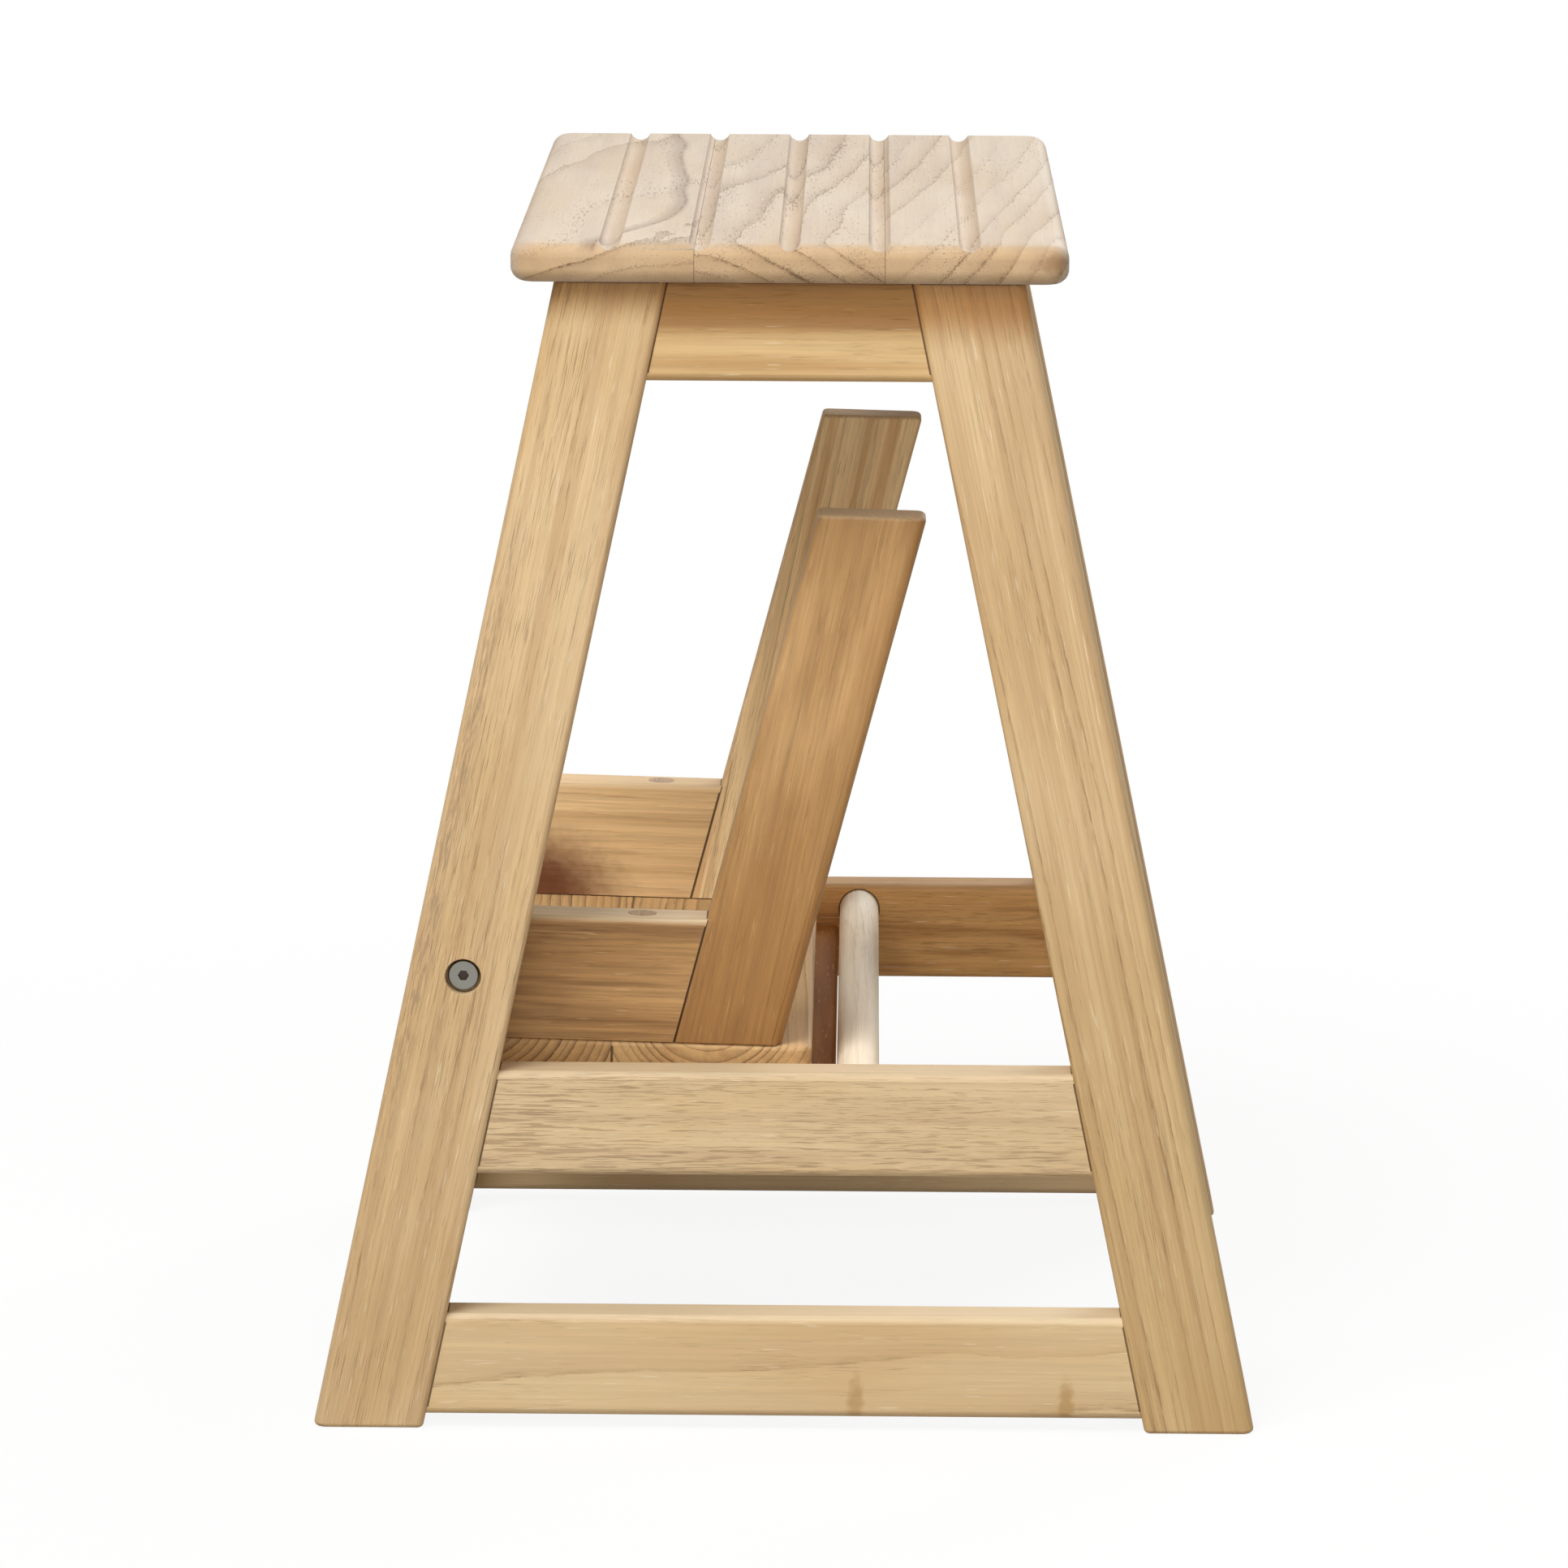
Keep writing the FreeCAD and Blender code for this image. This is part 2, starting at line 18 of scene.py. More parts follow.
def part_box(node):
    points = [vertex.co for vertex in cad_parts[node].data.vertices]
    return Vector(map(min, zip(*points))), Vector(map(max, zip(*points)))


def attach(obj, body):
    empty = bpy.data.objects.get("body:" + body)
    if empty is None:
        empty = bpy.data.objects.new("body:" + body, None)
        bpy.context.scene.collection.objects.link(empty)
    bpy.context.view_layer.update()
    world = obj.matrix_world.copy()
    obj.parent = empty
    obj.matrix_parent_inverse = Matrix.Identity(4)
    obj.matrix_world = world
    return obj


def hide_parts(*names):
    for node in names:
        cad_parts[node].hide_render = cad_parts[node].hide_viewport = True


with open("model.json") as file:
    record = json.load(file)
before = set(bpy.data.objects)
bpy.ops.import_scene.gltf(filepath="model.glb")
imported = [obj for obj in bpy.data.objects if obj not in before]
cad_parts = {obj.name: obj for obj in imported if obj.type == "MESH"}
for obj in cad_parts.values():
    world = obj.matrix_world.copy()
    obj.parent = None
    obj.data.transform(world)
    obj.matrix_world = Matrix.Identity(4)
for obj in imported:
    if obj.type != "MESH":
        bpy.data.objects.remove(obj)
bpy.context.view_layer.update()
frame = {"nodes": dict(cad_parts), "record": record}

body_of_node = {
    node: body
    for body, members in frame["record"]["behaviour"]["bodies"].items()
    for node in members
}
slot_of_node = {part["node"]: part["material_slot"] for part in frame["record"]["subparts"]}

# %% [markdown]
# ## The camera
# The photograph was taken with a long lens from about three metres, so the legs' lines stay nearly
# parallel. A camera could be placed by eye and nudged. Here its place and turn were fitted to the
# stool's outline, so that every edge can be compared with the photograph. A small shift puts the middle
# of the lens where the photograph has it.

# %% Which way the camera looks
CAMERA_PLACE = Vector((0.030557, -3.226, 0.86113))
YAW = -0.010045
PITCH = 0.18878
ROLL = 0.0053639

forward = Vector((math.sin(YAW) * math.cos(PITCH), math.cos(YAW) * math.cos(PITCH), -math.sin(PITCH)))
level_right = Vector((math.cos(YAW), -math.sin(YAW), 0.0))
level_up = level_right.cross(forward)
right = math.cos(ROLL) * level_right + math.sin(ROLL) * level_up
up = math.cos(ROLL) * level_up - math.sin(ROLL) * level_right
print("the camera looks along", tuple(round(number, 3) for number in forward))

# %% The lens
PHOTO_PIXELS = 1932
FOCAL_PIXELS = 9219.6
LENS_MIDDLE = (970.37, 941.43)
SENSOR = 36.0
FARTHEST = 50.0

lens = bpy.data.cameras.new("long_lens")
lens.sensor_width = SENSOR
lens.lens = FOCAL_PIXELS * SENSOR / PHOTO_PIXELS
lens.shift_x = (PHOTO_PIXELS / 2 - LENS_MIDDLE[0]) / PHOTO_PIXELS
lens.shift_y = (LENS_MIDDLE[1] - PHOTO_PIXELS / 2) / PHOTO_PIXELS
lens.clip_end = FARTHEST
print("lens", round(lens.lens, 1), "mm, shift", round(lens.shift_x, 4), round(lens.shift_y, 4))

# %% Place the camera
camera = bpy.data.objects.new("camera", lens)
turn = Matrix((right, up, -forward)).transposed()
camera.matrix_world = Matrix.Translation(CAMERA_PLACE) @ turn.to_4x4()
bpy.context.scene.collection.objects.link(camera)
bpy.context.scene.camera = camera
bpy.context.scene.view_settings.view_transform = "Standard"
print("camera at", tuple(camera.matrix_world.translation))

# %% [markdown]
# ## Node trees as arithmetic
# A wood grain is a page of maths: distances from the heart of the log, waves, thresholds. Adding each
# Math node by hand would hide it. `Value` wraps one output socket, and its operators add the nodes, so
# `1 - mask * 0.5` reads as it is meant. `Sheet` holds one node tree, and its `node` method makes every
# other kind of node: its settings first, because they can change which sockets there are, then the
# numbers or links of its sockets.

# %% The class that wraps a socket
class Value:
    """One output socket of a node tree. Arithmetic on it adds Math nodes."""

    def __init__(self, sheet, socket):
        self.sheet = sheet
        self.socket = socket

    def maths(self, operation, *others):
        inputs = {place: other for place, other in enumerate((self, *others))}
        return self.sheet.node("ShaderNodeMath", {"operation": operation}, inputs)

    def __add__(self, other):
        return self.maths("ADD", other)

    def __sub__(self, other):
        return self.maths("SUBTRACT", other)

    def __rsub__(self, other):
        return self.sheet.node("ShaderNodeMath", {"operation": "SUBTRACT"}, {0: other, 1: self})

    def __mul__(self, other):
        return self.maths("MULTIPLY", other)

    def __truediv__(self, other):
        return self.maths("DIVIDE", other)

    def __pow__(self, other):
        return self.maths("POWER", other)

    __radd__ = __add__
    __rmul__ = __mul__

    def step(self, low, high):
        """0 below low, 1 above high and a smooth rise between; falling when low is the larger."""
        span = {"From Min": low, "From Max": high, "Value": self}
        return self.sheet.node("ShaderNodeMapRange", {"interpolation_type": "SMOOTHSTEP"}, span)


print("sockets can be added, multiplied and stepped")


# %% The class that holds a node tree
class Sheet:
    """The node tree of a material or of the world. `node` adds a node and hands back one wrapped output."""

    def __init__(self, owner):
        self.owner = owner
        owner.use_nodes = True
        self.tree = owner.node_tree

    def put(self, socket, value):
        if isinstance(value, Value):
            self.tree.links.new(value.socket, socket)
        elif isinstance(value, tuple) and socket.type == "RGBA":
            socket.default_value = (*value[:3], 1.0)
        else:
            socket.default_value = value

    def node(self, kind, settings=None, inputs=None, output=0):
        made = self.tree.nodes.new(kind)
        for name, setting in (settings or {}).items():
            setattr(made, name, setting)
        sockets = {socket.identifier: socket for socket in made.inputs}
        for name, value in (inputs or {}).items():
            self.put(made.inputs[name] if isinstance(name, int) else sockets[name], value)
        return Value(self, made.outputs[output])

    def fill(self, present, **sockets):
        """Sets sockets of a node that the tree has from the start, with _ for the blanks in their names."""
        for name, value in sockets.items():
            self.put(self.tree.nodes[present].inputs[name.replace("_", " ")], value)
        return self.owner

    def blend(self, factor, first, second, how="MIX"):
        """A mix of two colours."""
        settings = {"data_type": "RGBA", "blend_type": how}
        inputs = {"Factor_Float": factor, "A_Color": first, "B_Color": second}
        return self.node("ShaderNodeMix", settings, inputs, output=2)

    def vector(self, operation, first, second, output=0):
        return self.node("ShaderNodeVectorMath", {"operation": operation}, {0: first, 1: second}, output)

    def length(self, place):
        return self.vector("LENGTH", place, (0.0, 0.0, 0.0), output="Value")

    def reach(self, place, direction):
        """How far a place or a normal reaches in one direction."""
        return self.vector("DOT_PRODUCT", place, direction, output="Value")

    def coordinates(self, kind):
        return self.node("ShaderNodeTexCoord", output=kind)

    def noise(self, place, scale, detail=2.0, roughness=0.5, output=0):
        """A soft random field. scale is a vector: how many waves to a millimetre each way."""
        inputs = {"Vector": self.vector("MULTIPLY", place, scale), "Scale": 1.0, "Detail": detail}
        inputs["Roughness"] = roughness
        return self.node("ShaderNodeTexNoise", {"noise_dimensions": "3D"}, inputs, output)

    def noise_line(self, place, **inputs):
        """A random line: like a field, but along one number."""
        inputs = {"W": place, "Scale": 1.0, **inputs}
        return self.node("ShaderNodeTexNoise", {"noise_dimensions": "1D"}, inputs)


print("node trees can be built")


# %% Colours as they look on a screen
def paint(red, green, blue):
    """A colour written as on a screen, 0 to 255, turned into the light that it reflects."""
    return tuple(
        ((level / 255 + 0.055) / 1.055) ** 2.4 if level > 10 else level / 255 / 12.92
        for level in (red, green, blue)
    )


print("a middle grey reflects", round(paint(128, 128, 128)[0], 3), "of the light")

# %% [markdown]
# ## Eased edges
# Sawn boards are never razor sharp: a stroke of sandpaper takes the arris off before the boards are
# joined. Where two boards meet, the two small bevels leave the fine dark line that shows every joint.
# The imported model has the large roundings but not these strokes. A Bevel modifier would round all edges
# alike, so each board gets a copy instead: its loose triangles are merged, the flat faces made whole
# again, and its sharp edges bevelled. Edges that touch another board are bevelled apart from the free
# ones, and their new faces are marked in an attribute, so that the wood can hold a little dust there.

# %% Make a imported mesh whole
SAME_PLACE = 0.000002
SAME_PLANE = math.radians(0.4)


def merged(mesh):
    """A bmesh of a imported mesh, with its triangles joined and its flat faces whole."""
    solid = bmesh.new()
    solid.from_mesh(mesh)
    bmesh.ops.remove_doubles(solid, verts=solid.verts, dist=SAME_PLACE)
    bmesh.ops.dissolve_limit(solid, angle_limit=SAME_PLANE, verts=solid.verts, edges=solid.edges)
    return solid


BOARDS = [name for name, slot in slot_of_node.items() if slot in ("seat_wood", "frame_wood", "step_wood")]
BOARDS = [name for name in BOARDS if not name.endswith("dowels")]
print("boards to ease:", len(BOARDS))


# %% Find what lies against another board
JOINT_REACH = 0.00025


def tree_of(node):
    """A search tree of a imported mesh's surface."""
    solid = bmesh.new()
    solid.from_mesh(frame["nodes"][node].data)
    tree = BVHTree.FromBMesh(solid)
    solid.free()
    return tree


def touches(edge, others):
    """Whether an edge's middle lies on one of the other boards."""
    point = (edge.verts[0].co + edge.verts[1].co) / 2
    return any(tree.find_nearest(point, JOINT_REACH)[0] is not None for tree in others)


board_trees = {name: tree_of(name) for name in BOARDS}
print("search trees:", len(board_trees))


# %% Bevel the sharp edges
SHARP = math.radians(40)
SHORTEST = 0.0006


def sharp_edges(solid):
    """The outward edges that are sharp and long enough to take a bevel."""
    found = []
    for edge in solid.edges:
        if len(edge.link_faces) == 2 and edge.is_convex and edge.calc_length() > SHORTEST:
            if edge.calc_face_angle() > SHARP:
                found.append(edge)
    return found


def bevelled(solid, edges, width, mark=None):
    """Bevels the edges. The new faces' corners get 1 in the marked attribute."""
    made = bmesh.ops.bevel(
        solid, geom=edges, offset=width, offset_type="OFFSET", segments=2, profile=0.5,
        affect="EDGES", clamp_overlap=False, material=-1, miter_outer="SHARP",
    )
    if mark is not None:
        for face in made["faces"]:
            for corner in face.loops:
                corner[mark] = 1.0


def eased(name, joint_width, free_width):
    """One packed board with its edges at joints and its free edges bevelled, and how many there are."""
    solid = merged(frame["nodes"][name].data)
    mark = solid.loops.layers.float.new("joint")
    own_body = body_of_node[name]
    near = [other for other in BOARDS if other != name and body_of_node[other] == own_body]
    others = [board_trees[other] for other in near]
    inner = [edge for edge in sharp_edges(solid) if touches(edge, others)]
    bevelled(solid, inner, joint_width, mark)
    outer = [edge for edge in sharp_edges(solid) if not touches(edge, others)]
    bevelled(solid, outer, free_width)
    return solid, len(inner), len(outer)


print("edges over", round(math.degrees(SHARP)), "degrees are bevelled")


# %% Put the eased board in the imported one's place
SMOOTH_BELOW = math.radians(50)


def stand_in(name, solid):
    """The object that shows the eased board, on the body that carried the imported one."""
    own_body = body_of_node[name]
    mesh = bpy.data.meshes.new(name + "_eased")
    solid.to_mesh(mesh)
    solid.free()
    for stale in [a.name for a in mesh.attributes if a.name == "custom_normal"]:
        mesh.attributes.remove(mesh.attributes[stale])
    mesh.materials.clear()
    mesh.shade_smooth()
    mesh.set_sharp_from_angle(angle=SMOOTH_BELOW)
    board = bpy.data.objects.new(name + "_eased", mesh)
    bpy.context.scene.collection.objects.link(board)
    flatten = board.modifiers.new("flat faces stay flat", "WEIGHTED_NORMAL")
    flatten.keep_sharp = True
    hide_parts(name)
    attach(board, own_body)
    return board


print("boards turn smooth below", round(math.degrees(SMOOTH_BELOW)), "degrees")

# %% Ease all boards
SEAT_JOINT = 0.00018
FRAME_JOINT = 0.00055
SANDED = 0.0003

boards = {}
for name in BOARDS:
    joint_width = SEAT_JOINT if name.startswith("seat") else FRAME_JOINT
    solid, at_joints, free = eased(name, joint_width, SANDED)
    boards[name] = stand_in(name, solid)
    print(name, "edges at joints", at_joints, "free", free, "faces", len(boards[name].data.polygons))

# %% [markdown]
# ## The figure of wood
# Teak shows three things at once: growth rings, whose late wood is darker and ends in a sharp line;
# open pores, which look like short brown strokes along the grain and like dots across it; and soft
# changes of tint. Painting them on each face would break at the edges. Instead the log itself is
# described: every board knows the direction of its grain and where the heart of its tree lay, and a
# point's distance from that heart tells its ring. Sawing is then free: faces along the grain show lines
# and arches, and the ends show arcs.

# %% The board's own directions
def axes_along(grain, face):
    """Three directions: across the grain, out of the board's face, and along the grain."""
    along = Vector(grain).normalized()
    out = Vector(face) - Vector(face).project(along)
    out.normalize()
    return out.cross(along), out, along


def board_place(sheet, centre, axes):
    """Millimetres from the board's centre, along its own directions."""
    turn = Matrix(axes)
    shift = -(turn @ Vector(centre)) * 1000.0
    inputs = {
        "Vector": sheet.coordinates("Object"), "Location": tuple(shift),
        "Rotation": tuple(turn.to_euler("XYZ")), "Scale": (1000.0, 1000.0, 1000.0),
    }
    return sheet.node("ShaderNodeMapping", {"vector_type": "POINT"}, inputs)


def along_axis(sheet, place, axis):
    """One coordinate of a place: 0 across the grain, 1 out of the face, 2 along the grain."""
    return sheet.node("ShaderNodeSeparateXYZ", {}, {"Vector": place}, output=axis)


ACROSS_Y = axes_along((0, 1, 0), (0, 0, 1))
print("a board from side to side has its width along", tuple(ACROSS_Y[0]))

# %% What a piece of wood is like
# Colours are as on a screen, lengths in millimetres. The other numbers are strengths from 0 to 1, apart
# from the sizes of pores and bands, which are waves to a millimetre, and row and porous, which lower the
# threshold above which a pore shows. Each wash is a height with none of it, a height with all of it, and
# its tint; the washes under the seat and in the grooves are painted shade. The colour that upward faces
# are mixed towards is a painted top light, and its share says how much of it they get.
LOOK = {
    "pale": paint(226, 197, 152), "warm": paint(212, 176, 124), "band": paint(198, 160, 116),
    "ring": paint(176, 136, 88), "pore": paint(112, 76, 46), "fleck": paint(250, 234, 204),
    "painted_top_light": paint(208, 187, 153), "dust": paint(78, 52, 30), "end": (0.86, 0.78, 0.66),
    "heart": (-160.0, 20.0), "spacing": 5.0, "taper": 0.02, "bend": 7.0, "jitter": 1.2, "seed": 0.0,
    "late": 0.3, "line": 0.3, "face_line": 1.0, "fibre": 0.18, "flecks": 0.35, "mottle": 0.7,
    "pores": 0.6, "porous": 0.0, "dash": 0.05, "pore_width": 2.9, "row": 0.09,
    "bands": 0.5, "band_size": 0.16, "band_run": 0.004,
    "bleached": 0.75, "dusty": 0.85, "ends": 0.7, "gloss": 0.5, "washes": (),
}
print("things that one board's look names:", len(LOOK))

# %% The log's rings
# The size of each random field, in waves to a millimetre: across, out of the face and along the grain.
FIELDS = {
    "bend": (0.013, 0.013, 0.0045), "jitter": (0.35, 0.35, 0.09), "patch": (0.045, 0.045, 0.009),
    "fleck": (1.2, 1.2, 0.06), "fibre": (0.95, 0.95, 0.013), "tint": (0.024, 0.024, 0.007),
}


def distance_to_heart(sheet, place, look):
    """How far each point grew from the heart of its bent tree."""
    wave = sheet.noise(place, FIELDS["bend"], detail=4.0, roughness=0.45, output="Color")
    wave = sheet.vector("SUBTRACT", wave, (0.5, 0.5, 0.5))
    wave = sheet.vector("MULTIPLY", wave, (look["bend"] * 2, look["bend"] * 2, 0.0))
    across = sheet.vector("MULTIPLY", place, (1.0, 1.0, 0.0))
    across = sheet.vector("SUBTRACT", across, (*look["heart"], 0.0))
    return sheet.length(sheet.vector("ADD", across, wave))


def rings_of(sheet, place, look):
    """How far each point lies into its year, from 0 to 1, and how vigorous that year was."""
    radius = distance_to_heart(sheet, place, look)
    height = sheet.reach(place, (0.0, 0.0, 1.0))
    jitter = sheet.noise(place, FIELDS["jitter"], detail=3.0, roughness=0.6)
    rings = (radius + height * look["taper"] + (jitter - 0.5) * look["jitter"]) / look["spacing"]
    rings = rings + sheet.noise_line(rings * 0.31 + look["seed"]) * 1.6
    number = {"W": rings.maths("FLOOR") + look["seed"]}
    year = sheet.node("ShaderNodeTexWhiteNoise", {"noise_dimensions": "1D"}, number)
    return rings.maths("FRACT"), 0.2 + year * 0.8


print("random fields:", ", ".join(FIELDS))


# %% Pores, fibres and tint
def log_figure(sheet, place, look):
    """Masks of the wood at each point, by name."""
    place = sheet.vector("ADD", place, (0.0, 0.0, look["seed"] * 317.0))
    part, vigour = rings_of(sheet, place, look)
    edge = ((part - 0.5).maths("ABSOLUTE") * 2.0) ** 4.0 * vigour
    ragged = sheet.noise(place, (0.5, 0.5, look["dash"] * 2.0), detail=3.0, roughness=0.6)
    grainy = sheet.noise(place, (look["pore_width"], look["pore_width"], look["dash"]))
    patch = sheet.noise(place, FIELDS["patch"])
    fading = 0.25 + patch.step(0.35, 0.6) * 0.75
    threshold = 0.665 - edge * look["row"] - (patch - 0.5) * 0.3 - look["porous"]
    lucky = sheet.noise(sheet.vector("ADD", place, (71.0, 13.0, 0.0)), FIELDS["fleck"], detail=1.0)
    rim = part.step(0.84, 0.96) * (1.0 - part.step(0.97, 1.0))
    return {
        "late": part ** 3.0 * vigour,
        "line": rim * vigour * ragged.step(0.38, 0.6) * fading,
        "pores": (grainy - threshold).step(0.0, 0.06),
        "flecks": lucky.step(0.68, 0.76),
        "fibres": sheet.noise(place, FIELDS["fibre"], detail=4.0, roughness=0.7),
        "tint": sheet.noise(place, FIELDS["tint"], detail=3.0),
        "bands": sheet.noise(place, (look["band_size"], look["band_size"], look["band_run"]), detail=3.0),
    }


print("pores gather in rows at the edges of the rings")

# %% [markdown]
# ## From figure to paint
# A board's colour is laid on in the order in which it came about. First the tree grew: tints, bands,
# late wood and pores. Then come marks of this one board, such as a stain, and one painted shadow. Last
# come use and painted light: upward faces are painted lighter, a painted top light; end grain drinks dirt
# and looks darker; washes by height paint shade under the seat and in the grooves, and darken some legs
# towards the foot; and dust settles in the joints. All of it is a chain of mixes, so each step can be
# read, and turned off, by itself.

# %% Fresh wood
def fresh_colour(sheet, seen, look, end_grain):
    """The colour of the wood as it was sawn."""
    colour = sheet.blend(seen["tint"].step(0.36, 0.66) * look["mottle"], look["pale"], look["warm"])
    colour = sheet.blend(seen["bands"].step(0.4, 0.66) * look["bands"], colour, look["band"])
    colour = sheet.blend(seen["late"] * look["late"], colour, look["ring"])
    drawn = look["face_line"] + end_grain * (1.0 - look["face_line"])
    colour = sheet.blend(seen["line"] * look["line"] * drawn, colour, look["pore"])
    colour = sheet.blend(seen["flecks"] * look["flecks"], colour, look["fleck"])
    return sheet.blend(seen["pores"] * look["pores"], colour, look["pore"])


print("wood grows pale, and its late wood darker")


# %% Weathered wood, with painted light and shade
def weathered_and_lit(sheet, colour, seen, look, end_grain):
    """The same colour after dirt and sandpaper, with a painted top light and the washes by height, mostly
    painted shade.
    """
    # Upward faces are mixed towards a lighter colour: a painted top light.
    upward = sheet.reach(sheet.coordinates("Normal"), (0.0, 0.0, 1.0)).step(0.1, 0.9)
    colour = sheet.blend(upward * look["bleached"], colour, look["painted_top_light"])
    colour = sheet.blend(end_grain * look["ends"], colour, look["end"], how="MULTIPLY")
    shade = 1.0 + (seen["fibres"] - 0.5) * (look["fibre"] * 3.0)
    grey = sheet.node("ShaderNodeCombineColor", {}, {0: shade, 1: shade, 2: shade})
    colour = sheet.blend(1.0, colour, grey, how="MULTIPLY")
    # Washes by height: painted shade under the seat and in the grooves, and darker towards some feet.
    height = sheet.reach(sheet.coordinates("Object"), (0.0, 0.0, 1000.0))
    for none, full, tint in look["washes"]:
        colour = sheet.blend(height.step(none, full), colour, tint, how="MULTIPLY")
    joint = sheet.node("ShaderNodeAttribute", {"attribute_name": "joint"}, output="Fac")
    return sheet.blend(joint * look["dusty"], colour, look["dust"])


print("sun bleaches what faces up")


# %% Paint one board
def wood(name, centre, axes, marks=(), **changes):
    """The material of one board. Each mark is a function that gives a mask and its colour."""
    look = {**LOOK, **changes}
    sheet = Sheet(bpy.data.materials.new(name))
    place = board_place(sheet, centre, axes)
    seen = log_figure(sheet, place, look)
    facing = sheet.reach(sheet.coordinates("Normal"), tuple(axes[2])).maths("ABSOLUTE")
    end_grain = facing.step(0.3, 0.95)
    colour = fresh_colour(sheet, seen, look, end_grain)
    for mark in marks:
        mask, tone = mark(sheet, place)
        colour = sheet.blend(mask, colour, tone)
    colour = weathered_and_lit(sheet, colour, seen, look, end_grain)
    relief = seen["fibres"] * 0.5 - seen["pores"] * 0.7 - seen["late"] * 0.1
    bump = sheet.node("ShaderNodeBump", {}, {"Height": relief, "Distance": 0.0002, "Strength": 0.6})
    rough = 0.54 + seen["fibres"] * 0.12 + seen["pores"] * 0.1 + end_grain * 0.06
    return sheet.fill(
        "Principled BSDF",
        Base_Color=colour, Roughness=rough, Normal=bump, Specular_IOR_Level=look["gloss"])


def dress(name, material):
    """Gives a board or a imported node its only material."""
    piece = boards.get(name) or frame["nodes"][name]
    piece.data.materials.clear()
    piece.data.materials.append(material)


def middle(name):
    low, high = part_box(name)
    return (low + high) / 2


print("the seat's front board has its middle at", tuple(round(c, 4) for c in middle("seat_board_front")))

# %% [markdown]
# ## Marks on the wood
# Some marks belong to one board alone: a mineral streak in the seat, drips of rain on a rail, and a
# painted shadow in the lower corner of the far step bar. A painted picture would hold them too, but it
# would need an unwrapped surface and would show at seams. Here a mark is a small function. It looks at
# the place on its board, in millimetres, and answers with a mask and a colour, and the board's paint
# mixes them in. A blot is the simplest: near its centre the mask is full, and a random field roughens
# its rim.

# %% Blots
def blot(centre, size, tone, strength, ragged=0.9):
    """A mark that darkens a round or long place: centre and size in the board's own directions."""
    def mark(sheet, place):
        apart = sheet.vector("DIVIDE", sheet.vector("SUBTRACT", place, centre), size)
        spread = sheet.noise(place, (0.25, 0.25, 0.25), detail=3.0)
        reach = sheet.length(apart) + (spread - 0.5) * ragged
        return reach.step(1.0, 0.3) * strength, tone
    return mark


corner_knot = blot((-33.0, 1.0, -213.0), (12.0, 6.0, 9.0), paint(150, 108, 66), 0.5)
print("a knot darkens the corner of the seat's back board")


# %% The seat's dark vein
VEIN_TURNS = -56.0
VEIN_ENDS = -192.0


def dark_vein(sheet, place):
    """The front board's mineral streak. It runs beside the second groove, then sweeps to the left."""
    across, along = along_axis(sheet, place, 0), along_axis(sheet, place, 2)
    far = (along - VEIN_TURNS).maths("MAXIMUM", 0.0)
    near = (VEIN_TURNS - along).maths("MAXIMUM", 0.0) / (VEIN_TURNS - VEIN_ENDS)
    wobble = sheet.noise(place, (0.0, 0.0, 0.009), detail=1.0, roughness=0.3)
    offset = across - (far * 0.047 + near * near * 27.0 - 32.0) - (wobble - 0.5) * 16.0
    ragged = sheet.noise(place, (0.6, 0.6, 0.12), detail=3.0, roughness=0.6)
    soft = offset.step(-3.0, 1.0) * offset.step(7.5, 1.5)
    core = offset.step(-1.4, 0.0) * offset.step(1.6, 0.0) * ragged.step(0.35, 0.6)
    edge = offset.step(4.6, 6.0) * offset.step(7.6, 6.2) * ragged.step(0.45, 0.62)
    above = along_axis(sheet, place, 1).step(3.0, 7.0)
    return (soft * 0.42 + core * 0.4 + edge * 0.25) * above, paint(128, 104, 86)


print("the vein turns", VEIN_TURNS - VEIN_ENDS, "mm before it ends")

# %% [markdown]
# ## The seat
# Three boards with their grain from side to side. Sanded teak that has not been oiled is pale and a
# little pink. The grooves are painted browner and darker below the top face, a painted shade in the
# recesses. The front board is flat sawn, so its rings run nearly level at its end and draw long arches
# on top. The back board comes from nearer the edge of its log: its rings stand at forty degrees at the
# end. One look serves all three, and each board adds the place of its heart.

# %% Seat boards
# A painted shade: below the seat's top face, in the grooves and on the edges, the wood is mixed browner and
# darker.
GROOVE_SHADE = (499.7, 498.0, (0.93, 0.88, 0.82))
SEAT = {
    "pale": paint(213, 197, 177), "warm": paint(204, 183, 155), "band": paint(194, 176, 160),
    "ring": paint(162, 138, 110), "pore": paint(104, 80, 60), "fleck": paint(226, 206, 168),
    "end": (0.98, 0.86, 0.67), "ends": 1.0, "bleached": 0.0, "dusty": 0.4, "dash": 0.10, "pore_width": 1.4,
    "row": 0.17, "fibre": 0.09, "late": 0.5, "line": 0.9, "face_line": 0.22, "pores": 0.4, "flecks": 0.5,
    "jitter": 0.65, "bands": 0.6, "band_size": 0.06, "washes": (GROOVE_SHADE,),
}
SEAT_BOARDS = {
    "front": {
        "heart": (-40.0, -150.0), "spacing": 10.0, "taper": 0.05, "bend": 11.0, "seed": 1.3,
        "marks": (dark_vein,)},
    "middle": {
        "heart": (60.0, -130.0), "spacing": 9.0, "taper": -0.05, "bend": 9.0, "seed": 2.1, "porous": 0.03},
    "back": {
        "heart": (120.0, 100.0), "spacing": 10.0, "taper": -0.09, "bend": 8.0, "seed": 3.7,
        "marks": (corner_knot,)},
}
for place, look in SEAT_BOARDS.items():
    name = f"seat_board_{place}"
    dress(name, wood(f"teak_seat_{place}", middle(name), ACROSS_Y, **{**SEAT, **look}))
print("seat boards painted:", ", ".join(SEAT_BOARDS))
